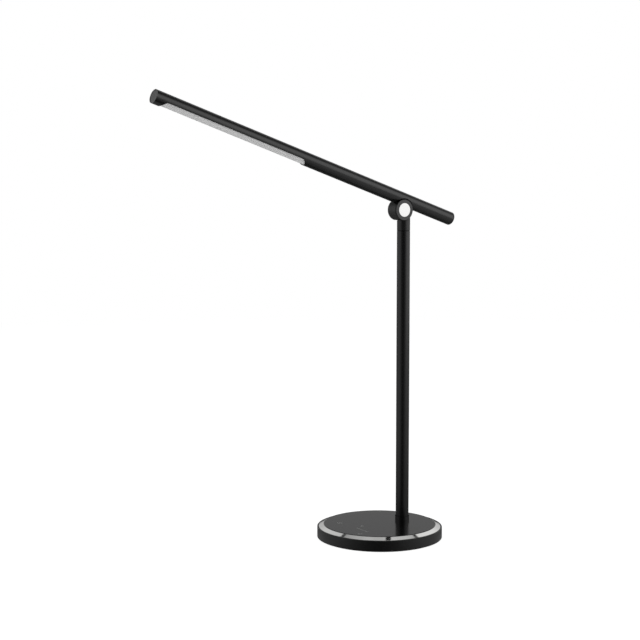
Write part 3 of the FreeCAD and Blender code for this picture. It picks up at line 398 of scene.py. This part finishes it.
def madeBy(tree, name, points, edges, values):
    # runs a tree on a drawn outline in mm and keeps the result as a plain mesh at the origin
    drawing = bpy.data.meshes.new(name + "_drawing")
    drawing.from_pydata([Vector(p) * mm for p in points], edges, [])
    holder = bpy.data.objects.new(name + "_drawing", drawing)
    scene.collection.objects.link(holder)
    maker = holder.modifiers.new("maker", "NODES")
    maker.node_group = tree
    for item in tree.interface.items_tree:
        if item.in_out == "INPUT" and item.name in values:
            maker[item.identifier] = values[item.name]
    mesh = bpy.data.meshes.new_from_object(holder.evaluated_get(bpy.context.evaluated_depsgraph_get()))
    holder.modifiers.remove(maker)
    bpy.data.objects.remove(holder)
    mesh.name = name
    shape = bmesh.new()
    shape.from_mesh(mesh)
    bmesh.ops.recalc_face_normals(shape, faces=shape.faces)
    shape.to_mesh(mesh)
    shape.free()
    piece = bpy.data.objects.new(name, mesh)
    scene.collection.objects.link(piece)
    return piece


def supported(outline, gap):
    # a point close to each side of every inner corner, so that flats stay flat beside a rounded edge
    points = [Vector((radius, 0, height)) for radius, height in outline]
    out = points[:1]
    for before, corner, after in zip(points, points[1:], points[2:]):
        out.append(corner + (before - corner).normalized() * gap)
        out.append(corner)
        out.append(corner + (after - corner).normalized() * gap)
    return out + points[-1:]


turning = turnedTree()


def turned(name, look, outline):
    # a turned piece in place of its solid
    points = supported(outline, look["edge"] * lathe["support"])
    edges = [(i, i + 1) for i in range(len(points) - 1)]
    piece = madeBy(turning, name, points, edges, {
        "Edge Radius": look["edge"] * mm, "Edge Steps": look["steps"], "Segments": look["segments"],
        "Axis Point": look["axis"], "Axis Turn": look["turn"], "Finish": paint[look["finish"]]})
    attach(piece, look["body"])
    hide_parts(look["node"])


def tubeOutline(outside, inside, foot, top):
    # starts and ends at the outer foot, which stays square on what it stands on
    return [(outside, foot), (outside, top), (inside, top), (inside, foot), (outside, foot)]


upright = (0.0, 0.0, 0.0)  # turn of a piece whose axis stands

# Bright ring round the base: seat, wall against the shell, and the bevel
bevel = {"node": "bevel_ring", "body": "stand", "slot": "polished_aluminium",
         "finish": "diamond_cut_aluminium", "axis": (0.0, 0.0, 0.0), "turn": upright,
         "wide": 5.8, "fall": 2.75, "edge": 0.16, "steps": 4, "segments": 288}
ringLow, ringHigh = spanOf("bevel_ring")
ringInside = ringHigh.x - bevel["wide"]
turned("bevel_ring_cut", bevel, [
    (ringInside, ringLow.z), (ringHigh.x, ringLow.z), (ringHigh.x, ringHigh.z - bevel["fall"]),
    (ringInside, ringHigh.z), (ringInside, ringLow.z)])

# Pole tube, open at both ends, with broken edges
pole = {"node": "pole_tube", "body": "stand", "slot": "black_paint_steel",
        "finish": "powder_coated_steel", "axis": poleAxis, "turn": upright, "wall": 1.0,
        "edge": 0.4, "steps": 4, "segments": 128}
poleLow, poleHigh = spanOf("pole_tube")
poleRadius = poleHigh.x - poleAxis[0] / mm
turned("pole_tube_coated", pole, tubeOutline(poleRadius, poleRadius - pole["wall"], poleLow.z, poleHigh.z))

# Collar that covers the joint between pole and panel
collar = {"node": "pole_collar", "body": "stand", "slot": "black_paint_steel",
          "finish": "powder_coated_steel", "axis": poleAxis, "turn": upright, "fit": 0.04,
          "edge": 0.35, "steps": 5, "segments": 128}
collarLow, collarHigh = spanOf("pole_collar")
collarRadius = collarHigh.x - poleAxis[0] / mm
turned("pole_collar_coated", collar, tubeOutline(
    collarRadius, poleRadius + collar["fit"], collarLow.z, collarHigh.z))

# Bright cap on the hub, its face drawn away from the hub along the axis
cap = {"node": "cap_disc", "body": "arm", "slot": "bright_cap",
       "finish": "bright_dipped_aluminium", "axis": hubAxis, "turn": (math.pi / 2, 0.0, 0.0), "crown": 0.06,
       "edge": 0.3, "steps": 6, "segments": 128}
capLow, capHigh = spanOf("cap_disc")
capRadius = hubAxis[2] / mm - capLow.z
turned("cap_disc_dipped", cap, [
    (0, -capHigh.y), (capRadius, -capHigh.y), (capRadius, -capLow.y - cap["crown"]), (0, -capLow.y)])
print("turned pieces made")

# Touch marks on the panel, in mm from the base's axis: a power mark, a slide line and two small rings
marks = {"film": 0.03, "line": 0.8, "steps": 28,
         "power": {"at": (-40.0, 26.5), "radius": 2.5, "gap": 40.0, "bar": (0.6, 3.3)},
         "slide": {"along": -37.5, "from": -5.0, "to": -29.0},
         "dots": [{"at": (-26.5, -1.5), "radius": 1.5}, {"at": (-50.5, -30.0), "radius": 2.0}]}
inkLevel = spanOf("top_panel")[1].z + marks["film"] / 2
inkPoints = []
inkEdges = []


def arcPoints(centre, radius, start, end):
    # angles in degrees from the far side of the base, where the pole stands
    turns = [math.radians(start + (end - start) * i / marks["steps"]) for i in range(marks["steps"] + 1)]
    return [(centre[0] + radius * math.cos(t), centre[1] + radius * math.sin(t)) for t in turns]


def addStroke(stroke, closed=False):
    # a line of ink through points on the panel
    first = len(inkPoints)
    inkPoints.extend((x, y, inkLevel) for x, y in stroke)
    last = len(inkPoints) - 1
    inkEdges.extend((i, i + 1) for i in range(first, last))
    if closed:
        inkEdges.append((last, first))


power = marks["power"]
addStroke(arcPoints(power["at"], power["radius"], power["gap"], 360 - power["gap"]))
addStroke([(power["at"][0] + reach, power["at"][1]) for reach in power["bar"]])
addStroke([(marks["slide"]["along"], marks["slide"][end]) for end in ("from", "to")])
for dot in marks["dots"]:
    addStroke(arcPoints(dot["at"], dot["radius"], 0, 360)[:-1], closed=True)
touchMarks = madeBy(printedTree(), "touch_marks", inkPoints, inkEdges, {
    "Line Width": marks["line"] * mm, "Film": marks["film"] * mm, "Finish": paint["screen_print_ink"]})
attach(touchMarks, "stand")
print("touch marks printed")

# Camera where the photograph was taken from
view = {"spot": (-1.03772, -1.41432, 0.44120), "aim": (-0.04869, 0.05564, 0.26060), "lens": 83.474,
        "sensor": 36.0, "roll": -0.04}
cameraData = bpy.data.cameras.new("camera")
cameraData.lens = view["lens"]
cameraData.sensor_width = view["sensor"]
camera = bpy.data.objects.new("camera", cameraData)
scene.collection.objects.link(camera)
camera.location = view["spot"]
aimed = (Vector(view["aim"]) - Vector(view["spot"])).to_track_quat("-Z", "Y")
camera.rotation_mode = "QUATERNION"
camera.rotation_quaternion = aimed @ Matrix.Rotation(math.radians(view["roll"]), 3, "Z").to_quaternion()
scene.camera = camera
toCamera = Vector((view["spot"][0], view["spot"][1], 0)).normalized()
toRight = Vector((-toCamera.y, toCamera.x, 0))
print("camera placed")

# White sweep behind and at both sides, nothing lit at eye level on the camera's side
# Stops are pairs of direction and level: round runs from behind the lamp, -1, to the camera, 1,
# and rise from straight down, -1, to straight up, 1, with a dark joint high up behind
sweep = {
    "round": [(-1.0, 0.37), (-0.985, 0.42), (-0.965, 0.50), (-0.93, 0.65), (-0.90, 0.66), (-0.75, 0.33),
              (-0.55, 0.45), (-0.3, 0.92), (0.17, 1.12), (0.52, 1.05), (0.76, 0.38), (0.90, 0.09),
              (1.0, 0.04)],
    "riseBehind": [(-1.0, 0.3), (-0.1, 0.5), (0.0, 0.95), (0.15, 1.12), (0.24, 1.0), (0.725, 1.0),
                   (0.732, 0.03), (0.757, 0.03), (0.764, 0.58), (0.87, 0.72), (0.90, 1.15), (1.0, 1.1)],
    "riseBeside": [(-1.0, 0.25), (-0.5, 0.4), (-0.3, 0.8), (-0.1, 1.0), (0.42, 1.0), (0.50, 0.6),
                   (0.57, 0.1), (1.0, 0.06)],
    "behind": (-0.88, -0.75),  # where behind turns into beside
    "rightGain": 0.32,  # the right side is the brighter one
    "fill": 0.5,  # light on matt surfaces
}
# Light above the camera's side, seen in first reflections only: it shows the ring from the other sides
overhead = {"level": 0.65, "soft": 0.1, "back": (-0.55, -0.35), "near": (0.0, 0.4), "rim": (0.80, 0.66)}


def levelAlong(tree, value, stops):
    # levels at values from -1 to 1, on a ramp that runs from 0 to 1
    spread = addNode(tree, "ShaderNodeMapRange", inputs={"Value": value, "From Min": -1.0, "From Max": 1.0})
    ramp = addNode(tree, "ShaderNodeValToRGB", inputs={"Fac": spread.outputs["Result"]})
    band = ramp.color_ramp.elements
    while len(band) < len(stops):
        band.new(0.5)
    for element, (spot, level) in zip(band, stops):
        element.position = (spot + 1) / 2
        element.color = (level, level, level, 1)
    return ramp.outputs["Color"]


def lieFlat(tree, way):
    # a direction along the floor, one unit long
    level = addNode(tree, "ShaderNodeVectorMath", {"operation": "MULTIPLY"}, {0: way, 1: (1, 1, 0)})
    return addNode(tree, "ShaderNodeVectorMath", {"operation": "NORMALIZE"}, {
        0: level.outputs["Vector"]}).outputs["Vector"]


def wallLevel(tree, toward, aside, rise):
    # how bright the sweep is in a direction
    behind = addNode(tree, "ShaderNodeMapRange", {"interpolation_type": "SMOOTHSTEP"}, {
        "Value": toward, "From Min": sweep["behind"][0], "From Max": sweep["behind"][1],
        "To Min": 1.0, "To Max": 0.0})
    height = addNode(tree, "ShaderNodeMix", {"data_type": "FLOAT"}, {
        "Factor": behind.outputs["Result"], "A": levelAlong(tree, rise, sweep["riseBeside"]),
        "B": levelAlong(tree, rise, sweep["riseBehind"])})
    lit = addNode(tree, "ShaderNodeMath", {"operation": "MULTIPLY"}, {
        0: levelAlong(tree, toward, sweep["round"]), 1: height.outputs["Result"]})
    gain = addNode(tree, "ShaderNodeMath", {"operation": "MULTIPLY_ADD"}, {
        0: aside, 1: sweep["rightGain"], 2: 1.0})
    return addNode(tree, "ShaderNodeMath", {"operation": "MULTIPLY"}, {
        0: lit.outputs["Value"], 1: gain.outputs["Value"]}).outputs["Value"]


def overheadLevel(tree, toward, rise, glossyDepth):
    # how bright the overhead light is in a direction, in a first reflection
    rim = addNode(tree, "ShaderNodeMapRange", inputs={
        "Value": toward, "From Min": overhead["near"][0], "From Max": overhead["near"][1],
        "To Min": overhead["rim"][0], "To Max": overhead["rim"][1]})
    above = addNode(tree, "ShaderNodeMath", {"operation": "SUBTRACT"}, {0: rise, 1: rim.outputs["Result"]})
    inside = addNode(tree, "ShaderNodeMapRange", {"interpolation_type": "SMOOTHSTEP"}, {
        "Value": above.outputs["Value"], "From Min": 0.0, "From Max": overhead["soft"],
        "To Min": 0.0, "To Max": overhead["level"]})
    ahead = addNode(tree, "ShaderNodeMapRange", {"interpolation_type": "SMOOTHSTEP"}, {
        "Value": toward, "From Min": overhead["back"][0], "From Max": overhead["back"][1]})
    lit = addNode(tree, "ShaderNodeMath", {"operation": "MULTIPLY"}, {
        0: inside.outputs["Result"], 1: ahead.outputs["Result"]})
    first = addNode(tree, "ShaderNodeMath", {"operation": "LESS_THAN"}, {0: glossyDepth, 1: 1.5})
    return addNode(tree, "ShaderNodeMath", {"operation": "MULTIPLY"}, {
        0: lit.outputs["Value"], 1: first.outputs["Value"]}).outputs["Value"]


def makeSweep():
    # white behind the lamp, the walls in mirrors, an even fill on matt surfaces
    world = bpy.data.worlds.new("white_sweep")
    scene.world = world
    world.use_nodes = True
    tree = world.node_tree
    tree.nodes.clear()
    ray = addNode(tree, "ShaderNodeLightPath").outputs
    way = addNode(tree, "ShaderNodeTexCoord").outputs["Generated"]
    rise = addNode(tree, "ShaderNodeSeparateXYZ", inputs={"Vector": way}).outputs["Z"]
    flat = lieFlat(tree, way)
    toward = addNode(tree, "ShaderNodeVectorMath", {"operation": "DOT_PRODUCT"}, {
        0: flat, 1: toCamera}).outputs["Value"]
    aside = addNode(tree, "ShaderNodeVectorMath", {"operation": "DOT_PRODUCT"}, {
        0: flat, 1: toRight}).outputs["Value"]
    seen = addNode(tree, "ShaderNodeMath", {"operation": "MAXIMUM"}, {
        0: wallLevel(tree, toward, aside, rise), 1: overheadLevel(tree, toward, rise, ray["Glossy Depth"])})
    mirrored = addNode(tree, "ShaderNodeMath", {"operation": "ADD"}, {
        0: ray["Is Glossy Ray"], 1: ray["Is Transmission Ray"]})
    level = addNode(tree, "ShaderNodeMix", {"data_type": "FLOAT"}, {
        "Factor": mirrored.outputs["Value"], "A": sweep["fill"], "B": seen.outputs["Value"]})
    strength = addNode(tree, "ShaderNodeMath", {"operation": "MAXIMUM"}, {
        0: level.outputs["Result"], 1: ray["Is Camera Ray"]})
    sky = addNode(tree, "ShaderNodeBackground", inputs={
        "Color": toLinear("#ffffff"), "Strength": strength.outputs["Value"]})
    addNode(tree, "ShaderNodeOutputWorld", inputs={"Surface": sky.outputs["Background"]})


# White floor that keeps a share of the lamp's shadow; round as for the sweep, brighter farther out
ground = {"radius": 2.6, "colour": "#e7e7e7", "glow": 1.12, "shadowShare": 0.2,
          "round": [(-1.0, 0.09), (-0.5, 0.16), (0.1, 0.36), (0.6, 0.35), (0.9, 0.15), (1.0, 0.03)],
          "reach": (0.2, 0.7), "farGain": 1.5, "segments": 96}


def groundPaint():
    # white to the camera but for its share of shadow, darker in mirrors
    material = bpy.data.materials.new("white_sweep_floor")
    material.use_nodes = True
    tree = material.node_tree
    tree.nodes.clear()
    ray = addNode(tree, "ShaderNodeLightPath").outputs
    place = addNode(tree, "ShaderNodeTexCoord").outputs["Object"]
    toward = addNode(tree, "ShaderNodeVectorMath", {"operation": "DOT_PRODUCT"}, {
        0: lieFlat(tree, place), 1: toCamera}).outputs["Value"]
    reach = addNode(tree, "ShaderNodeVectorMath", {"operation": "LENGTH"}, {0: place})
    far = addNode(tree, "ShaderNodeMapRange", {"interpolation_type": "SMOOTHSTEP"}, {
        "Value": reach.outputs["Value"], "From Min": ground["reach"][0], "From Max": ground["reach"][1],
        "To Min": 1.0, "To Max": ground["farGain"]})
    seen = addNode(tree, "ShaderNodeMath", {"operation": "MULTIPLY"}, {
        0: levelAlong(tree, toward, ground["round"]), 1: far.outputs["Result"]})
    mirrored = addNode(tree, "ShaderNodeMath", {"operation": "ADD"}, {
        0: ray["Is Glossy Ray"], 1: ray["Is Transmission Ray"]}).outputs["Value"]
    level = addNode(tree, "ShaderNodeMix", {"data_type": "FLOAT"}, {
        "Factor": mirrored, "A": ground["glow"], "B": seen.outputs["Value"]})
    glow = addNode(tree, "ShaderNodeEmission", inputs={"Strength": level.outputs["Result"]})
    matte = addNode(tree, "ShaderNodeBsdfDiffuse", inputs={"Color": toLinear(ground["colour"])})
    lifted = addNode(tree, "ShaderNodeMath", {"operation": "MULTIPLY"}, {
        0: ray["Is Camera Ray"], 1: 1 - ground["shadowShare"]})
    share = addNode(tree, "ShaderNodeMath", {"operation": "MAXIMUM"}, {
        0: lifted.outputs["Value"], 1: mirrored})
    blend = addNode(tree, "ShaderNodeMixShader", inputs={
        0: share.outputs["Value"], 1: matte.outputs["BSDF"], 2: glow.outputs["Emission"]})
    addNode(tree, "ShaderNodeOutputMaterial", inputs={"Surface": blend.outputs["Shader"]})
    return material


def makeFloor():
    mesh = bpy.data.meshes.new("floor")
    shape = bmesh.new()
    bmesh.ops.create_circle(shape, cap_ends=True, segments=ground["segments"], radius=ground["radius"])
    shape.to_mesh(mesh)
    shape.free()
    mesh.materials.append(groundPaint())
    floor = bpy.data.objects.new("floor", mesh)
    scene.collection.objects.link(floor)


# Softboxes for the matt surfaces and the shadow, aimed at the middle of the lamp
softboxAim = Vector((0, 0, 0.25))
softboxes = {
    "left_softbox": {"spot": (-2.2, 0.2, 1.1), "wide": 1.5, "tall": 1.6, "watts": 30},
    "right_softbox": {"spot": (1.6, -1.8, 1.1), "wide": 1.5, "tall": 1.6, "watts": 30},
    "top_softbox": {"spot": (-0.1, -0.3, 2.4), "wide": 1.6, "tall": 1.6, "watts": 25},
}


def makeSoftbox(name, look):
    lamp = bpy.data.lights.new(name, "AREA")
    lamp.shape = "RECTANGLE"
    lamp.size = look["wide"]
    lamp.size_y = look["tall"]
    lamp.energy = look["watts"]
    holder = bpy.data.objects.new(name, lamp)
    scene.collection.objects.link(holder)
    holder.visible_glossy = False
    holder.location = look["spot"]
    holder.rotation_euler = (softboxAim - Vector(look["spot"])).to_track_quat("-Z", "Y").to_euler()


makeSweep()
makeFloor()
for name, look in softboxes.items():
    makeSoftbox(name, look)
print("studio lit")
